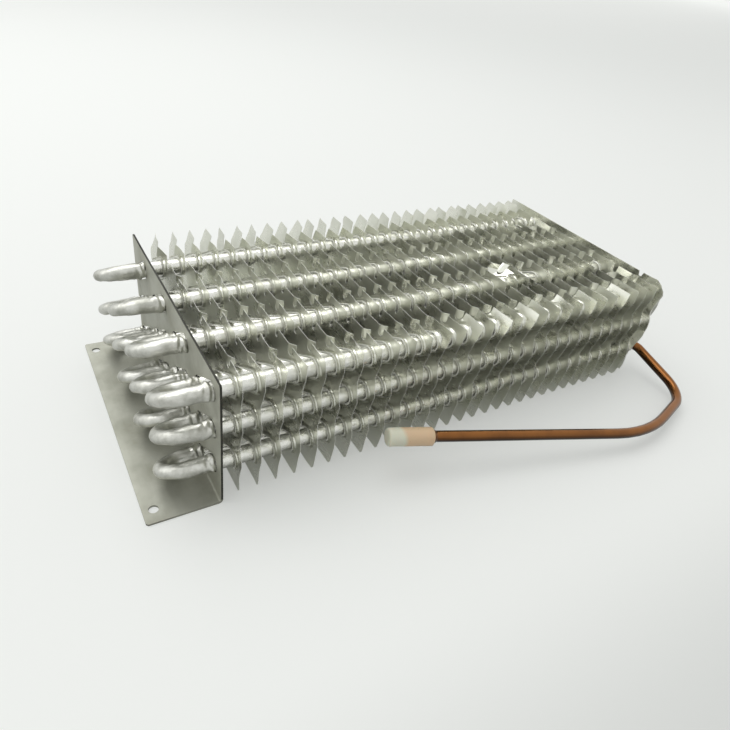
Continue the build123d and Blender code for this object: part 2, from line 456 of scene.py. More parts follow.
def between(values: list[float], share: float, hold: float = 0.0) -> float:
    """Read a value between the entries of a list.

    Args:
        values: The entries, evenly spaced.
        share: Where to read, from 0 at the first entry to 1 at the last.
        hold: Part of each step, at both of its ends, over which the value stays level.

    Returns:
        The value.
    """
    place = share * (len(values) - 1)
    index = min(max(int(place), 0), len(values) - 2)
    part = smooth((place - index - hold) / (1 - 2 * hold))
    return values[index] * (1 - part) + values[index + 1] * part


def ring_faces(first: int, count: int) -> list[Face]:
    """Join one ring of vertices to the next.

    Args:
        first: Number of the ring's first vertex.
        count: Vertices in each ring.

    Returns:
        The faces between the two rings.
    """
    faces = []
    for side in range(count):
        near = first + side
        far = first + (side + 1) % count
        faces.append((near, far, far + count, near + count))
    return faces


def grid_faces(first: int, steps: int, levels: int) -> list[Face]:
    """Join the vertices of a grid.

    Args:
        first: Number of the grid's first vertex.
        steps: Faces along the grid.
        levels: Faces across it, which is how the vertices are numbered first.

    Returns:
        The grid's faces.
    """
    corners = [first + step * (levels + 1) + level for step in range(steps) for level in range(levels)]
    return [(corner, corner + 1, corner + levels + 2, corner + levels + 1) for corner in corners]


def renumbered(faces: list[Face], first: int) -> list[Face]:
    """The faces, for vertices that are numbered from first."""
    return [tuple(first + index for index in face) for face in faces]


def sweep_rings(
    path: list[Vector], sides: int, size: Callable[[int, Vector], float]
) -> tuple[list[Vector], list[Face]]:
    """Sweep rings along a path, turning them with it, and close both ends.

    Args:
        path: Points of the centre line.
        sides: Points in each ring.
        size: Gives the radius at a path point's number, in a direction.

    Returns:
        The vertices and the faces.
    """
    verts: list[Vector] = []
    faces: list[Face] = []
    up = Vector((0, 0, 1))
    last = len(path) - 1
    for index, point in enumerate(path):
        ahead = (path[min(index + 1, last)] - path[max(index - 1, 0)]).normalized()
        up = (up - ahead * up.dot(ahead)).normalized()
        across = ahead.cross(up)
        for side in range(sides):
            angle = 2 * pi * side / sides
            direction = across * cos(angle) + up * sin(angle)
            verts.append(point + direction * size(index, direction))
        if index:
            faces += ring_faces((index - 1) * sides, sides)
    faces.append(tuple(reversed(range(sides))))
    faces.append(tuple(range(last * sides, last * sides + sides)))
    return verts, faces


def mesh_from(
    name: str, verts: list[Vector], faces: list[Face], weld: float = 0.0, looks: list[int] | None = None
) -> bpy.types.Mesh:
    """Make a smooth-shaded mesh with outward normals.

    Args:
        name: Name of the mesh.
        verts: Its vertices.
        faces: Its faces.
        weld: Distance under which vertices are merged.
        looks: Number of each face's material, the first where left out.

    Returns:
        The mesh.
    """
    mesh = bpy.data.meshes.new(name)
    mesh.from_pydata([tuple(vert) for vert in verts], [], faces)
    mesh.polygons.foreach_set("use_smooth", [True] * len(mesh.polygons))
    if looks:
        mesh.polygons.foreach_set("material_index", looks)
    shape = bmesh.new()
    shape.from_mesh(mesh)
    if weld:
        bmesh.ops.remove_doubles(shape, verts=shape.verts, dist=weld)
    bmesh.ops.recalc_face_normals(shape, faces=shape.faces)
    shape.to_mesh(mesh)
    shape.free()
    mesh.update()
    return mesh


def make_object(name: str, mesh: bpy.types.Mesh, nodes: tuple[str, ...]) -> bpy.types.Object:
    """Put a mesh in the scene as a piece of the part.

    Args:
        name: Name of the piece.
        mesh: Its mesh, in the row frame.
        nodes: The CAD nodes that it stands for.

    Returns:
        The new object.
    """
    piece = bpy.data.objects.new(name, mesh)
    bpy.context.scene.collection.objects.link(piece)
    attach(piece, "root")
    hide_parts(*nodes)
    log.info("%s: %d faces", name, len(mesh.polygons))
    return piece


def make_sheet(node: str, mesh: bpy.types.Mesh, materials: list[bpy.types.Material], gauge: float) -> None:
    """Put a thin sheet in the scene, thickened from its middle surface.

    Args:
        node: The CAD node that it stands for.
        mesh: Its middle surface.
        materials: Each face material, followed by that of its cut edges.
        gauge: The sheet's thickness.
    """
    for material in materials:
        mesh.materials.append(material)
    piece = make_object(mesh.name, mesh, (node,))
    thick = piece.modifiers.new("gauge", "SOLIDIFY")
    thick.thickness = gauge
    thick.offset = 0.0
    thick.material_offset_rim = 1
    crisp = piece.modifiers.new("crisp_edges", "EDGE_SPLIT")
    crisp.split_angle = CRISP_ANGLE


@dataclass
class Coil:
    """The one bent tube, with flattened hairpin bends and crumpled necks at the left plate."""

    lattice: Lattice
    left_face: float
    right_face: float
    sides: int = 24
    ring_step: float = 3.25 * MM
    neck_step: float = 0.5 * MM
    bend_rings: int = 20
    left_straight: float = 10.7 * MM
    right_straight: float = 1.0 * MM
    outlet: float = 14 * MM
    start_gap: float = 1.5 * MM
    flatten_across: float = 0.05
    flatten_flat: float = 0.20
    dent: float = 0.38 * MM
    dent_scale: float = 160.0
    fine_dent_scale: float = 420.0
    fine_dent_share: float = 0.5
    dent_inside: float = 0.2
    dent_fade: float = 4 * MM
    neck_length: float = 8 * MM
    neck_inside: float = 1 * MM
    neck_swell: float = 0.6 * MM
    neck_overlap: float = 1.15
    neck_scale: tuple[float, float, float] = (620.0, 330.0, 330.0)
    neck_mean: float = 0.55
    neck_fold: float = 2.3

    def _stations(self, start: float, goal: float) -> list[float]:
        """Place the rings of one leg, close together at the crumpled neck.

        Args:
            start: X at which the leg starts.
            goal: X at which it ends.

        Returns:
            X of each ring.
        """
        neck = (self.left_face - self.neck_length, self.left_face + self.neck_inside)
        inside = [x for x in neck if min(start, goal) < x < max(start, goal)]
        marks = sorted([start, goal, *inside], reverse=goal < start)
        stations = [start]
        for low, high in zip(marks, marks[1:]):
            crumpled = neck[0] < (low + high) / 2 < neck[1]
            count = ceil(abs(high - low) / (self.neck_step if crumpled else self.ring_step))
            stations += [low + (high - low) * step / count for step in range(1, count + 1)]
        return stations

    def _path(self) -> tuple[list[Vector], list[float]]:
        """Lay out the centre line.

        Returns:
            Its points and, for each, how far round a bend it is (0 on a leg, 1 at a tip).
        """
        legs = self.lattice.legs()
        left = self.left_face - self.left_straight
        right = self.right_face + self.right_straight
        points: list[Vector] = []
        turn: list[float] = []
        x = self.right_face + self.start_gap
        for index, leg in enumerate(legs):
            last = index == len(legs) - 1
            side = -1 if index % 2 == 0 else 1
            goal = left if side < 0 else right
            stations = self._stations(x, right + self.outlet if last else goal)
            points += [Vector((station, leg.x, leg.y)) for station in stations]
            turn += [0.0] * len(stations)
            if last:
                break
            middle = (leg + legs[index + 1]) / 2
            half = (leg - legs[index + 1]) / 2
            for step in range(1, self.bend_rings):
                angle = pi * step / self.bend_rings
                centre = middle + half * cos(angle)
                points.append(Vector((goal + side * half.length * sin(angle), centre.x, centre.y)))
                turn.append(sin(angle))
            x = goal
        return points, turn

    def _radius(self, point: Vector, direction: Vector, bend: float, inward: Vector) -> float:
        """Find the radius at one ring point: flattened round a bend, dented, and swollen at a neck.

        Args:
            point: Point of the centre line.
            direction: Direction from it to the ring point.
            bend: How far round a bend it is, from 0 to 1.
            inward: A vector toward the inside of the bend.

        Returns:
            The radius.
        """
        size = self.lattice.tube_radius
        if bend > 0:
            facing = direction.dot(inward.normalized())
            size *= 1 - bend * (self.flatten_across * facing**2 + self.flatten_flat * (1 - facing**2))
        seat = point + direction * self.lattice.tube_radius
        out = self.left_face - point.x
        rough = noise.noise(seat * self.dent_scale)
        rough += self.fine_dent_share * noise.noise(seat * self.fine_dent_scale)
        size += self.dent * rough * (self.dent_inside + (1 - self.dent_inside) * smooth(out / self.dent_fade))
        if 0 < out < self.neck_length:
            fold = noise.noise(seat * Vector(self.neck_scale))
            reach = smooth(self.neck_overlap * (1 - out / self.neck_length))
            size += self.neck_swell * reach * (self.neck_mean + self.neck_fold * fold)
        return size

    def build(self, finishes: Finishes) -> None:
        """Make the tube.

        Args:
            finishes: The scene's materials.
        """
        path, turn = self._path()
        last = len(path) - 1

        def size(index: int, direction: Vector) -> float:
            """Find the radius at one ring point.

            Args:
                index: Number of the path's point.
                direction: Direction from it to the ring point.

            Returns:
                The radius.
            """
            point = path[index]
            inward = (path[min(index + 1, last)] - point) + (path[max(index - 1, 0)] - point)
            return self._radius(point, direction, turn[index], inward)

        mesh = mesh_from("coil_tube_dressed", *sweep_rings(path, self.sides, size))
        mesh.materials.append(finishes.tube)
        mesh.materials.append(finishes.bend)
        for face in mesh.polygons:
            if not self.left_face < face.center.x < self.right_face:
                face.material_index = 1
        make_object("coil_tube_dressed", mesh, ("coil_tube",))


@dataclass
class SheetCutter:
    """Triangulates a sheet with an inclined slot round each hairpin.

    On a fin, the sheet round each slot is sunk to form a lobe, as the photograph shows, so the
    lobe's two edges can be cut in as well.
    """

    lattice: Lattice
    hole: float = 5.0 * MM
    lobe_in: float = 6.15 * MM
    lobe_out: float = 6.6 * MM
    loop_points: int = 10
    straight_points: int = 5
    grid: float = 4.2 * MM
    grid_margin: float = 0.35
    edge_step: float = 2.4 * MM
    hole_share: float = 0.99
    nowhere: float = 1.0
    tolerance: float = 1e-7

    def loop(self, pair: tuple[Vector, Vector], reach: float) -> list[Vector]:
        """Draw the closed curve at one distance from a hairpin's axis line.

        Args:
            pair: Both leg centres of the hairpin.
            reach: The distance.

        Returns:
            Points of the curve.
        """
        start, end = pair
        along = (end - start).normalized()
        aside = Vector((-along.y, along.x))
        points = []
        for centre, other, turn in ((start, end, 0), (end, start, 1)):
            for step in range(self.loop_points + 1):
                angle = pi / 2 + pi * step / self.loop_points + pi * turn
                points.append(centre + along * (reach * cos(angle)) + aside * (reach * sin(angle)))
            edge = aside * (reach if turn else -reach)
            for step in range(1, self.straight_points):
                points.append(centre.lerp(other, step / self.straight_points) + edge)
        return points

    def distance(self, point: Vector) -> float:
        """Measure from a point of the sheet to the nearest hairpin's axis line.

        Args:
            point: The point (Y, Z).

        Returns:
            The distance.
        """
        best = self.nowhere
        for start, end in self.lattice.hairpins():
            along = end - start
            share = min(max((point - start).dot(along) / along.length_squared, 0.0), 1.0)
            best = min(best, (point - start - along * share).length)
        return best

    def _divided(self, outline: list[Vector]) -> list[Vector]:
        """Divide an outline's long edges.

        Args:
            outline: Its corners.

        Returns:
            Its points.
        """
        points = []
        for corner, following in zip(outline, outline[1:] + outline[:1]):
            steps = max(1, round((following - corner).length / self.edge_step))
            points += [corner.lerp(following, step / steps) for step in range(steps)]
        return points

    @staticmethod
    def _inside(point: Vector, outline: list[Vector]) -> bool:
        """Find whether a point is inside a closed outline.

        Args:
            point: The point.
            outline: The outline's corners.

        Returns:
            Whether it is inside.
        """
        inside = False
        for previous, corner in zip(outline[-1:] + outline[:-1], outline):
            if (corner.y > point.y) != (previous.y > point.y):
                share = (point.y - corner.y) / (previous.y - corner.y)
                if point.x < corner.x + share * (previous.x - corner.x):
                    inside = not inside
        return inside

    def _grid_points(self, outline: list[Vector], fine: list[Vector], keep_off: float) -> list[Vector]:
        """Spread points over the sheet, away from its slots and edges.

        Args:
            outline: Corners of the sheet.
            fine: The same outline with its long edges divided.
            keep_off: Least distance from a hairpin's axis line.

        Returns:
            The points.
        """
        low_y, low_z = min(p.x for p in outline), min(p.y for p in outline)
        width, height = max(p.x for p in outline) - low_y, max(p.y for p in outline) - low_z
        across = ceil(width / self.grid)
        up = ceil(height / self.grid)
        points = []
        for column in range(1, across):
            for row in range(1, up):
                point = Vector((low_y + width * column / across, low_z + height * row / up))
                if self.distance(point) > keep_off and self._inside(point, outline):
                    if min((point - p).length for p in fine) > self.grid_margin * self.grid:
                        points.append(point)
        return points

    def cut(self, outline: list[Vector], holes: list[list[Vector]], lobes: bool) -> tuple[list[Vector], list[Face]]:
        """Triangulate the sheet.

        Args:
            outline: Corners of the sheet in (Y, Z).
            holes: Further closed holes in (Y, Z).
            lobes: Whether the lobe's two edges are cut in as well.

        Returns:
            The points and the triangles.
        """
        fine = self._divided(outline)
        reaches = (self.hole, self.lobe_in, self.lobe_out) if lobes else (self.hole,)
        slots = [self.loop(pair, reach) for pair in self.lattice.hairpins() for reach in reaches]
        verts: list[Vector] = []
        edges: list[tuple[int, int]] = []
        for loop in [fine, *slots, *holes]:
            first = len(verts)
            edges += [(first + index, first + (index + 1) % len(loop)) for index in range(len(loop))]
            verts += loop
        verts += self._grid_points(outline, fine, reaches[-1] + self.grid_margin * self.grid)
        out_verts, _, out_faces, *_ = delaunay_2d_cdt(verts, edges, [], 0, self.tolerance)
        faces = []
        for face in out_faces:
            middle = sum((out_verts[i] for i in face), Vector((0, 0))) / len(face)
            if not self._inside(middle, outline) or self.distance(middle) < self.hole * self.hole_share:
                continue
            if not any(self._inside(middle, hole) for hole in holes):
                faces.append(face)
        used = sorted({i for face in faces for i in face})
        number = {old: new for new, old in enumerate(used)}
        return [Vector(out_verts[i]) for i in used], [tuple(number[i] for i in face) for face in faces]


@dataclass
class FinOutline:
    """A fin's outline: a waved front edge, notches in the top edge and cut back corners.

    Notches start at a distance behind the top tube of their column.
    """

    lattice: Lattice
    wave: float = 2.6 * MM
    crest_lift: float = 2.5 * MM
    bottom_cut: tuple[float, float] = (1.5 * MM, 2 * MM)
    top_set_back: float = 0.6 * MM
    round_start: float = 5.0 * MM
    round_width: float = 4.6 * MM
    depth: float = 5.5 * MM
    round_steps: int = 6
    small_start: float = -16.8 * MM
    small_width: float = 3.6 * MM
    small_chamfer: tuple[float, float] = (0.5 * MM, 0.8 * MM)
    last_small_start: float = -13.8 * MM
    last_small_width: float = 8.0 * MM
    gap_start: float = 6.2 * MM
    gap_width: float = 5.8 * MM
    gap_depth: float = 9.5 * MM
    gap_knee: tuple[float, float] = (2.2 * MM, 3 * MM)
    gap_floor_insets: tuple[float, float] = (3 * MM, 0.8 * MM)
    back_bulge: float = 2.2 * MM
    back_drop: float = 5 * MM
    back_knee: tuple[float, float] = (0.3, 0.5)

    def hinge(self, column: int) -> float:
        """Y of the back side of a column's round notch, where its tab is still joined."""
        return self.lattice.upper(column, 0).x + self.round_start + self.round_width

    def _round_notch(self, start: float) -> list[Vector]:
        """Draw a notch with a round bottom.

        Args:
            start: Y of its front side.

        Returns:
            Its points from front to back.
        """
        top = self.lattice.height
        radius = self.round_width / 2
        points = [Vector((start, top))]
        for step in range(self.round_steps + 1):
            angle = pi + pi * step / self.round_steps
            y = start + radius + radius * cos(angle)
            points.append(Vector((y, top - self.depth + radius + radius * sin(angle))))
        points.append(Vector((start + self.round_width, top)))
        return points

    def _small_notch(self, start: float, width: float) -> list[Vector]:
        """Draw a notch with a pointed bottom.

        Args:
            start: Y of its front side.
            width: Its width at the top.

        Returns:
            Its corners from front to back.
        """
        top = self.lattice.height
        floor = top - self.depth
        end = start + width
        side, rise = self.small_chamfer
        corners = (
            (start, top), (start + side, floor + rise), ((start + end) / 2, floor), (end - side, floor + rise),
            (end, top),
        )
        return [Vector(corner) for corner in corners]

    def _last_gap(self, start: float) -> list[Vector]:
        """Draw the deep gap that parts the pale back leaf from the rest of the top edge.

        Args:
            start: Y of its front side.

        Returns:
            Its corners from front to back.
        """
        top = self.lattice.height
        floor = top - self.gap_depth
        end = start + self.gap_width
        knee, rise = self.gap_knee
        near, far = self.gap_floor_insets
        corners = ((start, top), (start + knee, floor + rise), (start + near, floor), (end - far, floor), (end, top))
        return [Vector(corner) for corner in corners]

    def _front_edge(self) -> list[Vector]:
        """Draw the waved front edge, with a crest at each row of tubes.

        Returns:
            Its corners from the bottom up.
        """
        lat = self.lattice
        inner = lat.front + self.wave
        points = [Vector((inner + self.bottom_cut[0], 0)), Vector((inner, self.bottom_cut[1]))]
        for row in reversed(range(lat.rows)):
            crest = lat.upper(0, row).y + self.crest_lift
            points.append(Vector((lat.front, crest)))
            if row > 0:
                points.append(Vector((inner, crest + lat.row_pitch / 2)))
        points.append(Vector((lat.front + self.top_set_back, lat.height)))
        return points

    def corners(self) -> list[Vector]:
        """Draw the whole outline.

        Returns:
            Its corners in (Y, Z).
        """
        lat = self.lattice
        points = self._front_edge()
        for column in range(lat.columns):
            tube = lat.upper(column, 0).x
            if column == lat.columns - 1:
                points += self._small_notch(tube + self.last_small_start, self.last_small_width)
                points += self._last_gap(tube + self.gap_start)
                break
            if column > 0:
                points += self._small_notch(tube + self.small_start, self.small_width)
            points += self._round_notch(tube + self.round_start)
        bulge, drop = self.back_bulge, self.back_drop
        inward, down = self.back_knee
        back_edge = (
            (lat.back - bulge, lat.height), (lat.back - inward * bulge, lat.height - down * drop),
            (lat.back, lat.height - drop), (lat.back, drop), (lat.back - bulge, 0),
        )
        return points + [Vector(corner) for corner in back_edge]


@dataclass(frozen=True)
class Bend:
    """One place where a fin has been pushed over.

    Attributes:
        fin: Number of the fin.
        y: Middle of the bent stretch, from the front edge.
        width: Length of the bent stretch.
        lean: Angle of the bend, toward +X.
        root: Height at which it starts.
        fade: Half widths at which the bend ends, and over which it fades out.
    """

    fin: int
    y: float
    width: float
    lean: float
    root: float = 60 * MM
    fade: tuple[float, float] = (1.25, 0.3)

    def share(self, y: float) -> float:
        """How much of the bend is left at a distance from the front edge, from 0 to 1."""
        aside = abs(y - self.y) / (self.width / 2)
        return smooth((self.fade[0] - aside) / self.fade[1])


@dataclass(frozen=True)
class Leans:
    """Small random leans of one fin.

    Attributes:
        top: Leans along the top edge.
        front: Leans up the front edge.
        back: Leans up the back edge.
        phases: Places in the noise, the first of which the sheet's waves are read at.
        leaf: Lean of the pale leaf at the back of the top edge.
    """

    top: list[float]
    front: list[float]
    back: list[float]
    phases: list[float]
    leaf: float


@dataclass
class FinForm:
    """How far each point of a fin is pushed out of the fin's flat plane.

    The names that end in start or middle are distances from the front edge.
    """

    lattice: Lattice
    cutter: SheetCutter
    bends: list[Bend]
    lobe_depth: float = 1.15 * MM
    top_spread: float = 0.035
    front_spread: float = 0.04
    back_spread: float = 0.06
    top_strip: float = 9 * MM
    top_hold: float = 0.35
    side_strip: float = 8 * MM
    ease: float = 3 * MM
    leaf_start: float = 133 * MM
    leaf_middle: float = 140 * MM
    leaf_strip: float = 11 * MM
    leaf_ease: float = 2 * MM
    leaf_rise: float = 5 * MM
    leaf_lean: float = 0.17
    leaf_spread: float = 0.07
    leaf_twist: float = 0.10
    crest_start: float = 113.5 * MM
    crest_middle: float = 123.5 * MM
    crest_twist: float = -0.14
    wave_scale: float = 38.0
    wave_depth: float = 0.14 * MM
    wave_ease: float = 4 * MM
    drop_share: float = 0.9
    top_places: int = 9
    side_places: int = 7
    phases: int = 3
    phase_range: float = 100.0

    def leans(self, chance: random.Random) -> Leans:
        """Draw one fin's small leans.

        Args:
            chance: The fin's own random numbers.

        Returns:
            The leans.
        """
        return Leans(
            top=[chance.gauss(0.0, self.top_spread) for _ in range(self.top_places)],
            front=[chance.gauss(0.0, self.front_spread) for _ in range(self.side_places)],
            back=[chance.gauss(0.0, self.back_spread) for _ in range(self.side_places)],
            phases=[chance.uniform(0, self.phase_range) for _ in range(self.phases)],
            leaf=chance.gauss(self.leaf_lean, self.leaf_spread),
        )

    def _leaves(self, y: float, z: float, lean: float) -> float:
        """Push out the back leaf, which leans and twists, and the crest before it, which twists back.

        Args:
            y: Distance of the point from the front edge.
            z: Its height.
            lean: Lean of the leaf.

        Returns:
            How far the point is pushed out.
        """
        leaf = smooth((y - self.leaf_start) / self.leaf_ease)
        crest = smooth((y - self.crest_start) / self.ease) * (1 - leaf)
        rise = max(0.0, z - (self.lattice.height - self.leaf_strip))
        push = leaf * (lean * rise + self.leaf_twist * (y - self.leaf_middle))
        push += crest * self.crest_twist * (y - self.crest_middle)
        return push * smooth(rise / self.leaf_rise)

    def shift(self, number: int, point: Vector, leans: Leans) -> float:
        """Push one point of a fin out along X.

        Args:
            number: Number of the fin.
            point: The point (Y, Z) of the flat fin.
            leans: The fin's small leans.

        Returns:
            How far the point is pushed out.
        """
        lat = self.lattice
        cutter = self.cutter
        y = point.x - lat.front
        reach = cutter.distance(point)
        push = self.lobe_depth * smooth((cutter.lobe_out - reach) / (cutter.lobe_out - cutter.lobe_in))
        rise = max(0.0, point.y - (lat.height - self.top_strip))
        push += between(leans.top, y / lat.depth, self.top_hold) * rise * smooth(rise / self.ease)
        push += self._leaves(y, point.y, leans.leaf)
        level = point.y / lat.height
        push += between(leans.front, level) * max(0.0, self.side_strip - y)
        push += between(leans.back, level) * max(0.0, y - (lat.depth - self.side_strip))
        wave = noise.noise(Vector((point.x * self.wave_scale, point.y * self.wave_scale, leans.phases[0])))
        push += self.wave_depth * wave * smooth((reach - cutter.lobe_in) / self.wave_ease)
        for bend in self.bends:
            if bend.fin == number:
                rise = max(0.0, point.y - bend.root)
                push += tan(bend.lean) * rise * smooth(rise / self.ease) * bend.share(y)
        return push

    def drop(self, number: int, point: Vector) -> float:
        """Find how far a bent stretch comes down at one point.

        Args:
            number: Number of the fin.
            point: The point (Y, Z) of the flat fin.

        Returns:
            How far the point comes down.
        """
        drop = 0.0
        for bend in self.bends:
            if bend.fin == number:
                rise = max(0.0, point.y - bend.root)
                drop += rise * (1 - cos(bend.lean)) * self.drop_share * bend.share(point.x - self.lattice.front)
        return drop


@dataclass(frozen=True)
class Blank:
    """What every fin is formed from: its flat sheet, its collars and its faces that get the lighter edge finish, a
    painted highlight.
    """

    sheet: list[Vector]
    triangles: list[Face]
    collars: list[Vector]
    collar_faces: list[Face]
    painted_highlight_faces: set[int]


@dataclass
class FinStack:
    """The thin fins, each with a collar round every slot and a tab bent out of every round notch.

    The collar is given as rings, each a height and a distance from the hairpin's axis line.
    """

    lattice: Lattice
    cutter: SheetCutter
    form: FinForm
    left_face: float
    gauge: float = 0.18 * MM
    weld: float = 0.02 * MM
    lip_height: float = 1.4 * MM
    tab_angle: float = radians(34)
    tab_spread: float = 0.14
    tab_curl: float = 0.25
    tab_steps: int = 8
    tab_levels: int = 4
    crease_lead: float = 0.1
    crease_sharpness: float = 3
    seed: int = 11000
    collar: Corners = (
        (0.0, 5.0), (0.3, 4.65), (0.9, 4.35), (1.5, 4.3), (1.95, 4.42), (2.25, 4.72), (2.3, 5.1), (2.1, 5.4),
    )

    def __post_init__(self) -> None:
        """Draw the fins' outline."""
        self.outline = FinOutline(self.lattice)

    def _collars(self) -> tuple[list[Vector], list[Face]]:
        """Turn up a collar round every slot.

        Returns:
            The collars' points, as (-height, Y, Z), and their faces.
        """
        verts: list[Vector] = []
        faces: list[Face] = []
        for pair in self.lattice.hairpins():
            for ring, (height, reach) in enumerate(self.collar):
                loop = self.cutter.loop(pair, reach * MM)
                if ring:
                    faces += ring_faces(len(verts) - len(loop), len(loop))
                verts += [Vector((-height * MM, point.x, point.y)) for point in loop]
        return verts, faces

    def _blank(self) -> Blank:
        """Cut the sheet that every fin is formed from.

        Returns:
            The sheet and its collars, with the lobes' steps and the collars' lips marked for the lighter edge finish,
            a painted highlight.
        """
        sheet, triangles = self.cutter.cut(self.outline.corners(), [], lobes=True)
        collars, collar_faces = self._collars()
        # The lobes' steps and the collars' lips take the lighter edge finish: painted highlight.
        painted_highlight_faces = set()
        for index, face in enumerate(triangles):
            middle = sum((sheet[i] for i in face), Vector((0, 0))) / len(face)
            if self.cutter.lobe_in < self.cutter.distance(middle) < self.cutter.lobe_out:
                painted_highlight_faces.add(index)
        for index, face in enumerate(collar_faces):
            if min(-collars[i].x for i in face) > self.lip_height:
                painted_highlight_faces.add(len(triangles) + index)
        return Blank(sheet, triangles, collars, collar_faces, painted_highlight_faces)

    def _tab(self, column: int, chance: random.Random) -> tuple[list[Vector], list[Face]]:
        """Bend one notch's own piece of foil toward +X, still hinged on the notch's back side.

        Args:
            column: Column of the notch.
            chance: The fin's own random numbers.

        Returns:
            The tab's points, with X from the fin's plane, and its faces.
        """
        top = self.lattice.height
        width = self.outline.round_width
        radius = width / 2
        steps = self.tab_steps
        levels = self.tab_levels
        angle = self.tab_angle + chance.gauss(0.0, self.tab_spread)
        curl = chance.uniform(0.0, self.tab_curl)
        x = 0.0
        y = self.outline.hinge(column)
        verts = []
        for step in range(steps + 1):
            share = step / steps
            low = top - self.outline.depth + radius
            low -= sqrt(max(0.0, radius**2 - (width * share - radius) ** 2))
            verts += [Vector((x, y, low + (top - low) * level / levels)) for level in range(levels + 1)]
            heading = angle * smooth((share + self.crease_lead) * self.crease_sharpness) + curl * share
            y -= cos(heading) * width / steps
            x += sin(heading) * width / steps
        return verts, grid_faces(0, steps, levels)

    def _fin(self, number: int, blank: Blank, finishes: Finishes) -> None:
        """Form one fin.

        Args:
            number: Number of the fin, from 1 at the left.
            blank: What it is formed from.
            finishes: The scene's materials.
        """
        form = self.form
        chance = random.Random(self.seed + number)
        leans = form.leans(chance)
        x = self.left_face + self.lattice.fin_pitch * number + self.gauge / 2
        verts = []
        for point in blank.sheet:
            shift = form.shift(number, point, leans)
            verts.append(Vector((x + shift, point.x, point.y - form.drop(number, point))))
        faces = blank.triangles + renumbered(blank.collar_faces, len(verts))
        verts += [Vector((x + form.lobe_depth + point.x, point.y, point.z)) for point in blank.collars]
        for column in range(self.lattice.columns - 1):
            tab, tab_faces = self._tab(column, chance)
            faces += renumbered(tab_faces, len(verts))
            for point in tab:
                shift = form.shift(number, Vector((self.outline.hinge(column), point.z)), leans)
                verts.append(Vector((x + shift + point.x, point.y, point.z)))
        node = f"fin_{number:02d}"
        looks = [int(index in blank.painted_highlight_faces) for index in range(len(faces))]
        mesh = mesh_from(node + "_dressed", verts, faces, self.weld, looks)
        make_sheet(node, mesh, [finishes.fin, finishes.fin_edge_highlight], self.gauge)

    def build(self, finishes: Finishes) -> None:
        """Make every fin.

        Args:
            finishes: The scene's materials.
        """
        blank = self._blank()
        for number in range(1, self.lattice.fin_count + 1):
            self._fin(number, blank, finishes)


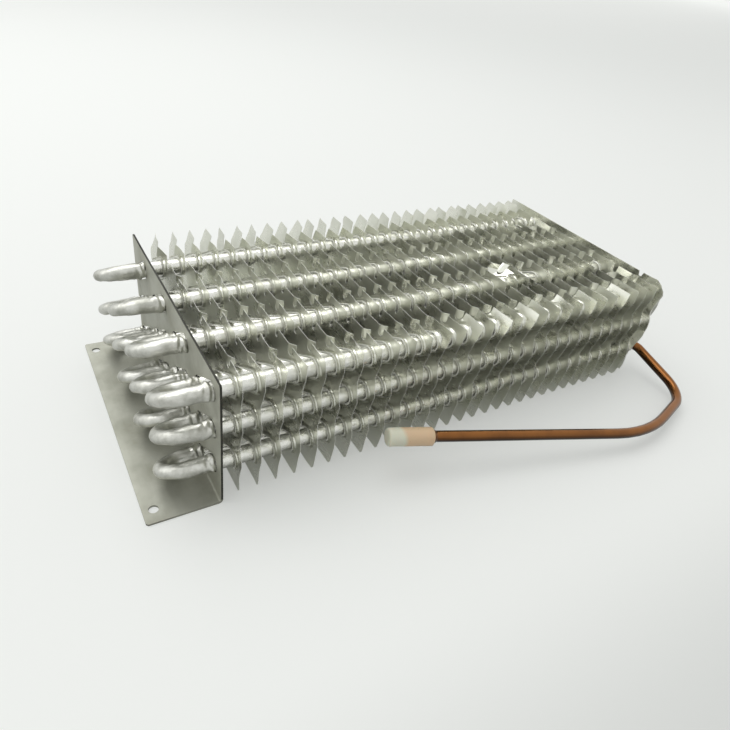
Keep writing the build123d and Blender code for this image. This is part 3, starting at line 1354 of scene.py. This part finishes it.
@dataclass
class EndPlates:
    """The two end plates: the left one folded out into a foot with two screw holes.

    The worn front edge of the right plate is given from the bottom up, in millimetres, each corner
    as its distance behind the fins' front edge and its height: waved, curled in and notched.
    """

    lattice: Lattice
    left_face: float
    right_face: float
    gauge: float = 1.0 * MM
    thin_gauge: float = 0.5 * MM
    weld: float = 0.06 * MM
    corner_cut: float = 0.8 * MM
    wave_scale: float = 22.0
    wave_depth: float = 0.22 * MM
    wave_ease: float = 8 * MM
    buckle_width: float = 14 * MM
    buckle_mean: float = 0.10
    buckle_depth: float = 0.45
    buckle_scale: tuple[float, float] = (60.0, 75.0)
    buckle_phase: float = 4.0
    wave_phase: float = 90.0
    slot_reach: float = 4.7 * MM
    foot_width: float = 34 * MM
    foot_cut: float = 0.9 * MM
    foot_grid: float = 5 * MM
    fold: float = 1.6 * MM
    fold_steps: int = 6
    hole_inset: float = 5.0 * MM
    hole_end_inset: float = 7.75 * MM
    hole_radius: float = 2.3 * MM
    hole_points: int = 28
    worn_front: Corners = (
        (5.8, 0), (5.2, 8), (5.0, 17), (3.6, 23), (1.4, 31), (0.0, 38), (0.2, 45), (2.2, 49), (2.4, 56),
        (0.9, 62), (1.6, 65), (4.4, 68), (8, 70), (18.6, 70), (19.4, 67), (21.4, 67), (22.2, 70),
    )

    def _outline(self, bottom: float, worn: bool) -> list[Vector]:
        """Draw an upright sheet, with its top corners a little rounded.

        Args:
            bottom: Height of its bottom edge.
            worn: Whether its front edge is the worn one.

        Returns:
            Its corners in (Y, Z).
        """
        lat = self.lattice
        cut = self.corner_cut
        if worn:
            front = [(lat.front + y * MM, z * MM) for y, z in self.worn_front]
        else:
            front = [(lat.front, bottom), (lat.front, lat.height - cut), (lat.front + cut, lat.height)]
        back = [(lat.back - cut, lat.height), (lat.back, lat.height - cut), (lat.back, bottom)]
        return [Vector(corner) for corner in front + back]

    def _upright(self, face: float, bottom: float, worn: bool) -> tuple[list[Vector], list[Face]]:
        """Make an upright sheet's middle surface.

        Args:
            face: X of its left face.
            bottom: Height of its bottom edge.
            worn: Whether its front edge is worn and buckled.

        Returns:
            The points and the triangles.
        """
        cutter = SheetCutter(self.lattice, hole=self.slot_reach)
        sheet, triangles = cutter.cut(self._outline(bottom, worn), [], lobes=False)
        verts = []
        for point in sheet:
            wave = noise.noise(Vector((point.x * self.wave_scale, point.y * self.wave_scale, face * self.wave_phase)))
            shift = self.wave_depth * wave * smooth((point.y - bottom) / self.wave_ease)
            if worn:
                ahead = max(0.0, self.lattice.front + self.buckle_width - point.x)
                across, up = self.buckle_scale
                buckle = noise.noise(Vector((point.x * across, point.y * up, self.buckle_phase)))
                shift += ahead * (self.buckle_mean + self.buckle_depth * buckle)
            verts.append(Vector((face + self.gauge / 2 + shift, point.x, point.y)))
        return verts, triangles

    def _hole(self, x: float, y: float) -> list[Vector]:
        """Points of one screw hole."""
        angles = [2 * pi * index / self.hole_points for index in range(self.hole_points)]
        return [Vector((x + self.hole_radius * cos(a), y + self.hole_radius * sin(a))) for a in angles]

    def _foot(self) -> tuple[list[Vector], list[Face]]:
        """Make the middle surface of the foot and its fold.

        Returns:
            The points and the faces.
        """
        lat = self.lattice
        outer = self.left_face - self.foot_width
        level = self.gauge / 2
        start = self.left_face + self.gauge / 2 - self.fold
        cut = self.foot_cut
        corners = (
            (outer + cut, lat.front), (start, lat.front), (start, lat.back), (outer + cut, lat.back),
            (outer, lat.back - cut), (outer, lat.front + cut),
        )
        ends = (lat.front + self.hole_end_inset, lat.back - self.hole_end_inset)
        holes = [self._hole(outer + self.hole_inset, y) for y in ends]
        plain = SheetCutter(Lattice(columns=0, rows=0), hole=0.0, grid=self.foot_grid)
        sheet, faces = plain.cut([Vector(corner) for corner in corners], holes, lobes=False)
        verts = [Vector((point.x, point.y, level)) for point in sheet]
        rows = max(2, round(lat.depth / plain.edge_step))
        faces += grid_faces(len(verts), self.fold_steps, rows)
        for step in range(self.fold_steps + 1):
            angle = pi / 2 * step / self.fold_steps
            x = start + self.fold * sin(angle)
            z = level + self.fold * (1 - cos(angle))
            verts += [Vector((x, lat.front + lat.depth * row / rows, z)) for row in range(rows + 1)]
        return verts, faces

    def build(self, finishes: Finishes) -> None:
        """Make both plates.

        Args:
            finishes: The scene's materials.
        """
        bottom = self.gauge / 2 + self.fold
        verts, faces = self._upright(self.left_face, bottom, worn=False)
        looks = [0] * len(faces)
        foot_verts, foot_faces = self._foot()
        faces += renumbered(foot_faces, len(verts))
        verts += foot_verts
        looks += [2] * len(foot_faces)
        mesh = mesh_from("left_end_plate_dressed", verts, faces, self.weld, looks)
        materials = [finishes.plate, finishes.plate_edge_shade, finishes.plate, finishes.foot_edge]
        make_sheet("left_end_plate", mesh, materials, self.gauge)
        verts, faces = self._upright(self.right_face - self.gauge, 0.0, worn=True)
        mesh = mesh_from("right_end_plate_dressed", verts, faces, self.weld)
        make_sheet("right_end_plate", mesh, [finishes.fin, finishes.fin_edge_highlight], self.thin_gauge)


@dataclass(frozen=True)
class PipeCap:
    """The plastic cap: a thin cup, slightly tapered and rounded at its closed end.

    Rings are placed by their distance from the closed end, the tip.
    """

    radius: float = 4.9 * MM
    length: float = 24.6 * MM
    wall: float = 1.0 * MM
    empty: float = 7 * MM
    clearance: float = 0.12 * MM
    taper: float = 0.12 * MM
    rim: tuple[float, float] = (0.3 * MM, 0.25 * MM)
    side_rings: int = 8
    side_share: float = 0.85
    tip_round: float = 1.4 * MM
    tip_rings: int = 5
    inner_round: float = 0.6 * MM
    sides: int = 32
    unevenness: float = 0.012
    unevenness_scale: float = 120.0
    weld: float = 0.01 * MM

    def _profile(self, inner: float) -> list[tuple[float, float]]:
        """Draw the cap's section.

        Args:
            inner: Radius inside.

        Returns:
            Distance from the tip and radius of each ring, from the rim outside to the rim inside.
        """
        length = self.length
        along, across = self.rim
        profile = [(length, inner), (length, self.radius - across), (length - along, self.radius)]
        for step in range(self.side_rings):
            share = step / (self.side_rings - 1)
            distance = length * (1 - share) * self.side_share + self.tip_round
            profile.append((distance, self.radius - self.taper * share))
        for step in range(1, self.tip_rings + 1):
            angle = pi / 2 * step / self.tip_rings
            reach = self.radius - self.taper - self.tip_round * (1 - cos(angle))
            profile.append((self.tip_round * (1 - sin(angle)), reach))
        inside = [
            (0.0, 0.0), (self.wall, 0.0), (self.wall, inner - self.inner_round),
            (self.wall + self.inner_round, inner), (length, inner),
        ]
        return profile + inside

    def build(self, tip: Vector, ahead: Vector, filling: float, material: bpy.types.Material) -> None:
        """Make the cap.

        Args:
            tip: Its closed end.
            ahead: Direction of the pipe toward it.
            filling: Radius of the pipe inside it.
            material: The cap's material.
        """
        turn = Vector((0, 0, 1)).rotation_difference(-ahead)
        verts: list[Vector] = []
        faces: list[Face] = []
        for distance, reach in self._profile(filling + self.clearance):
            if verts:
                faces += ring_faces(len(verts) - self.sides, self.sides)
            for side in range(self.sides):
                angle = 2 * pi * side / self.sides
                place = Vector((cos(angle), sin(angle), distance * self.unevenness_scale))
                size = reach * (1 + self.unevenness * noise.noise(place))
                verts.append(tip + turn @ Vector((size * cos(angle), size * sin(angle), distance)))
        mesh = mesh_from("pipe_cap_dressed", verts, faces, self.weld)
        mesh.materials.append(material)
        make_object("pipe_cap_dressed", mesh, ("pipe_cap",))


@dataclass
class CopperPipe:
    """The formed copper pipe with its widened end, its joint sleeve and its plastic cap."""

    lattice: Lattice
    right_face: float
    radius: float = 3 * MM
    sides: int = 24
    start_gap: float = 1.5 * MM
    turn_from_plate: float = 11 * MM
    forward_run: float = 47.75 * MM
    forward_drift: float = 1.4 * MM
    side_run: float = 60.5 * MM
    side_drift: float = 18.65 * MM
    low_height: float = 5.5 * MM
    side_height: float = 8.8 * MM
    tip_from_side: float = 162.2 * MM
    tip_drift: float = 43.3 * MM
    tip_height: float = 25 * MM
    radii: tuple[float, float, float] = (6.5 * MM, 22 * MM, 85 * MM)
    run_step: float = 8 * MM
    arc_step: float = radians(6)
    bell_radius: float = 4 * MM
    bell_length: float = 17 * MM
    bell_cone: float = 2 * MM
    cone_rings: int = 5
    bell_rings: int = 4
    unevenness: float = 0.04 * MM
    unevenness_scale: float = 90.0
    cap: PipeCap = field(default_factory=PipeCap)

    def corners(self) -> list[Vector]:
        """Place the corners of the centre line.

        Returns:
            The corners, from the coil to the tip of the cap.
        """
        joint = self.lattice.legs()[0]
        first = Vector((self.right_face + self.turn_from_plate, joint.x, joint.y))
        second = Vector((first.x - self.forward_drift, joint.x - self.forward_run, self.low_height))
        third = Vector((second.x - self.side_run, second.y - self.side_drift, self.side_height))
        tip = Vector((third.x - self.tip_from_side, third.y + self.tip_drift, self.tip_height))
        return [Vector((self.right_face + self.start_gap, joint.x, joint.y)), first, second, third, tip]

    def path(self, corners: list[Vector]) -> list[Vector]:
        """Join the corners by straight runs and tangent arcs.

        Args:
            corners: The corners.

        Returns:
            Close points of the centre line.
        """
        points = [corners[0]]
        for before, corner, after, radius in zip(corners, corners[1:], corners[2:], self.radii):
            back = (before - corner).normalized()
            ahead = (after - corner).normalized()
            half = ahead.angle(back) / 2
            trim = radius / tan(half)
            centre = corner + (back + ahead).normalized() * (radius / sin(half))
            start = corner + back * trim - centre
            turn = pi - 2 * half
            axis = start.cross(corner + ahead * trim - centre).normalized()
            steps = max(6, ceil(turn / self.arc_step))
            for step in range(steps + 1):
                points.append(centre + Matrix.Rotation(turn * step / steps, 3, axis) @ start)
        last = points[-1]
        run = corners[-1] - last
        steps = ceil(run.length / self.run_step)
        points += [last + run * (step / steps) for step in range(1, steps + 1)]
        return points

    def build(self, finishes: Finishes) -> None:
        """Make the pipe and the cap, and give the sleeve its material.

        Args:
            finishes: The scene's materials.
        """
        corners = self.corners()
        tip = corners[-1]
        ahead = (tip - corners[-2]).normalized()
        end = tip - ahead * (self.cap.wall + self.cap.empty)
        bell_start = end - ahead * self.bell_length
        cone_start = bell_start - ahead * self.bell_cone
        path = self.path([*corners[:-1], cone_start])
        sizes = [self.radius] * len(path)
        for step in range(1, self.cone_rings + 1):
            share = step / self.cone_rings
            path.append(cone_start.lerp(bell_start, share))
            sizes.append(self.radius + (self.bell_radius - self.radius) * smooth(share))
        for step in range(1, self.bell_rings + 1):
            path.append(bell_start.lerp(end, step / self.bell_rings))
            sizes.append(self.bell_radius)

        def size(index: int, direction: Vector) -> float:
            """The radius at one ring point, a little uneven from hand bending."""
            rough = noise.noise((path[index] + direction * self.radius) * self.unevenness_scale)
            return sizes[index] + self.unevenness * rough

        mesh = mesh_from("copper_pipe_dressed", *sweep_rings(path, self.sides, size))
        mesh.materials.append(finishes.copper)
        make_object("copper_pipe_dressed", mesh, ("copper_pipe",))
        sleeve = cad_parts["joint_sleeve"]
        sleeve.data.materials.clear()
        sleeve.data.materials.append(finishes.tube)
        self.cap.build(tip, ahead, self.bell_radius, finishes.cap.build(end.x))


@dataclass
class Studio:
    """Floor, backdrop light, soft lamps and the camera at the photograph's angle."""

    camera_place: Vector = field(default_factory=lambda: Vector((-31.64, -255.22, 222.59)) * MM)
    camera_turn: tuple[float, float, float] = (54.0974, -7.6447, -30.1301)
    focal_pixels: float = 590.5
    frame_pixels: float = 730.0
    sensor: float = 36.0
    near_clip: float = 0.01
    lamp_aim: Vector = field(default_factory=lambda: Vector((0.17, 0.0, 0.03)))
    floor_size: float = 60.0
    floor_color: Color = (0.56, 0.57, 0.555)
    floor_roughness: float = 0.55
    floor_specular: float = 0.3
    floor_slant: float = -0.5
    floor_span: tuple[float, float] = (-0.4, 1.8)
    floor_lift: tuple[float, float] = (0.60, 0.70)
    # Painted shade: the floor's glow is dimmed in a band just before the part.
    near_span: tuple[float, float] = (-0.26, -0.16)
    near_fade: tuple[float, float] = (-1.2, -0.3)
    near_painted_shade: float = 0.28
    far_span: tuple[float, float] = (5.0, 30.0)
    far_lift: float = 0.92
    mirrored_share: float = 0.35
    world_color: Color = (0.86, 0.87, 0.86)
    world_light: float = 0.62
    world_seen: float = 0.95

    def camera(self) -> None:
        """Place the camera where the photograph was taken from."""
        data = bpy.data.cameras.new("camera")
        data.sensor_width = self.sensor
        data.lens = self.focal_pixels / self.frame_pixels * self.sensor
        data.clip_start = self.near_clip
        holder = bpy.data.objects.new("camera", data)
        holder.location = self.camera_place
        holder.rotation_euler = Euler([radians(angle) for angle in self.camera_turn])
        bpy.context.scene.collection.objects.link(holder)
        bpy.context.scene.camera = holder

    @staticmethod
    def _seen(graph: Graph, mirrored_share: float) -> bpy.types.NodeSocket:
        """Tell what is seen from what only lights the part.

        Args:
            graph: The graph to add to.
            mirrored_share: What counts as seen of a reflection.

        Returns:
            1 for rays from the camera or through plastic, the share for reflections, and 0 otherwise.
        """
        path = graph.node("ShaderNodeLightPath").outputs
        mirrored = graph.math("MULTIPLY", path["Is Glossy Ray"], mirrored_share)
        either = graph.math("MAXIMUM", path["Is Camera Ray"], mirrored)
        return graph.math("MAXIMUM", either, path["Is Transmission Ray"])

    def _floor_level(self, graph: Graph) -> bpy.types.NodeSocket:
        """Set the floor's own tone: paler further back, with painted shade just before the part, even far away.

        Args:
            graph: The floor's graph.

        Returns:
            The strength of the tone.
        """
        place = graph.node("ShaderNodeTexCoord").outputs["Object"]
        axes = graph.node("ShaderNodeSeparateXYZ", {0: place}).outputs
        slant = graph.math("MULTIPLY_ADD", axes["X"], self.floor_slant, axes["Y"])
        lift = graph.span(slant, self.floor_span, self.floor_lift, ease=True)
        # Painted shade: dim the glow in a band just before the part.
        near = graph.span(axes["Y"], self.near_span, (-self.near_painted_shade, 0.0), ease=True)
        fade = graph.span(axes["Y"], self.near_fade, ease=True)
        total = graph.math("MULTIPLY_ADD", near, fade, lift)
        distance = graph.node("ShaderNodeVectorMath", {0: place}, operation="LENGTH").outputs["Value"]
        far = graph.span(distance, self.far_span, ease=True)
        return graph.node("ShaderNodeMix", {"Factor": far, "A": total, "B": self.far_lift}).outputs["Result"]

    def floor(self) -> None:
        """Lay a wide pale floor, with its tone lifted for what the camera and the metal see."""
        size = self.floor_size
        corners = [(-size, -size, 0), (size, -size, 0), (size, size, 0), (-size, size, 0)]
        mesh = bpy.data.meshes.new("floor")
        mesh.from_pydata(corners, [], [(0, 1, 2, 3)])
        material, graph, shader = start_material("pale_floor")
        color = (*self.floor_color, 1)
        graph.feed(shader, {
            "Base Color": color,
            "Roughness": self.floor_roughness,
            "Specular IOR Level": self.floor_specular,
        })
        power = graph.math("MULTIPLY", self._floor_level(graph), self._seen(graph, self.mirrored_share))
        glow = graph.node("ShaderNodeEmission", {"Color": color, "Strength": power})
        both = graph.node("ShaderNodeAddShader", {0: shader.outputs[0], 1: glow.outputs[0]})
        graph.feed(graph.tree.nodes["Material Output"], {"Surface": both.outputs[0]})
        mesh.materials.append(material)
        ground = bpy.data.objects.new("floor", mesh)
        bpy.context.scene.collection.objects.link(ground)

    def lamp(self, name: str, place: tuple[float, float, float], size: float, power: float) -> None:
        """Hang one square soft lamp, aimed at the block.

        Args:
            name: Name of the lamp.
            place: Where it hangs, in metres.
            size: Side of the square.
            power: Its power in watts.
        """
        data = bpy.data.lights.new(name, "AREA")
        data.shape = "SQUARE"
        data.size = size
        data.energy = power
        lamp = bpy.data.objects.new(name, data)
        lamp.location = place
        aim = self.lamp_aim - Vector(place)
        lamp.rotation_euler = aim.to_track_quat("-Z", "Y").to_euler()
        bpy.context.scene.collection.objects.link(lamp)

    def world(self) -> None:
        """Surround the part with a pale tone, dimmer as light than as what is seen."""
        world = bpy.data.worlds.new("studio")
        bpy.context.scene.world = world
        world.use_nodes = True
        world.node_tree.nodes.clear()
        graph = Graph(world.node_tree)
        color = (*self.world_color, 1)
        light = graph.node("ShaderNodeBackground", {"Color": color, "Strength": self.world_light})
        pale = graph.node("ShaderNodeBackground", {"Color": color, "Strength": self.world_seen})
        mix = graph.node("ShaderNodeMixShader", {0: self._seen(graph, 1.0), 1: light.outputs[0], 2: pale.outputs[0]})
        graph.node("ShaderNodeOutputWorld", {"Surface": mix.outputs[0]})

    def build(self) -> None:
        """Set up the whole studio."""
        self.camera()
        self.floor()
        self.world()
        self.lamp("overhead", (-0.1, 0.6, 1.4), 1.5, 10.0)
        self.lamp("left_back", (-1.2, 0.7, 1.2), 1.6, 5.0)
        bpy.context.scene.view_settings.view_transform = "Standard"


def fin_bends() -> list[Bend]:
    """List the places where fins have been pushed over.

    Returns:
        The leaning front corners, by the degrees of each, and the harder bends behind them.
    """
    leans = {
        12: 13, 13: 7, 14: 18, 15: 11, 16: 20, 17: 13, 18: 19, 19: 14, 20: 10, 21: 18, 23: 14, 24: 9, 25: 12,
        26: 17, 27: 10,
    }
    bends = [Bend(number, 6 * MM, 19 * MM, radians(angle)) for number, angle in leans.items()]
    return bends + [
        Bend(20, 52 * MM, 12 * MM, radians(38)),
        Bend(22, 44 * MM, 12 * MM, radians(-35)),
        Bend(28, 35 * MM, 14 * MM, radians(-45)),
        Bend(28, 110 * MM, 14 * MM, radians(-45)),
    ]


def main() -> None:
    """Build the evaporator piece by piece."""
    Studio().build()
    finishes = Finishes()
    lattice = Lattice()
    plate_low, plate_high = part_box("right_end_plate")
    left_face = plate_low[0] - lattice.length
    right_face = plate_high[0]
    Coil(lattice, left_face, right_face).build(finishes)
    cutter = SheetCutter(lattice)
    FinStack(lattice, cutter, FinForm(lattice, cutter, fin_bends()), left_face).build(finishes)
    EndPlates(lattice, left_face, right_face).build(finishes)
    CopperPipe(lattice, right_face).build(finishes)


if __name__ == "__main__":
    main()
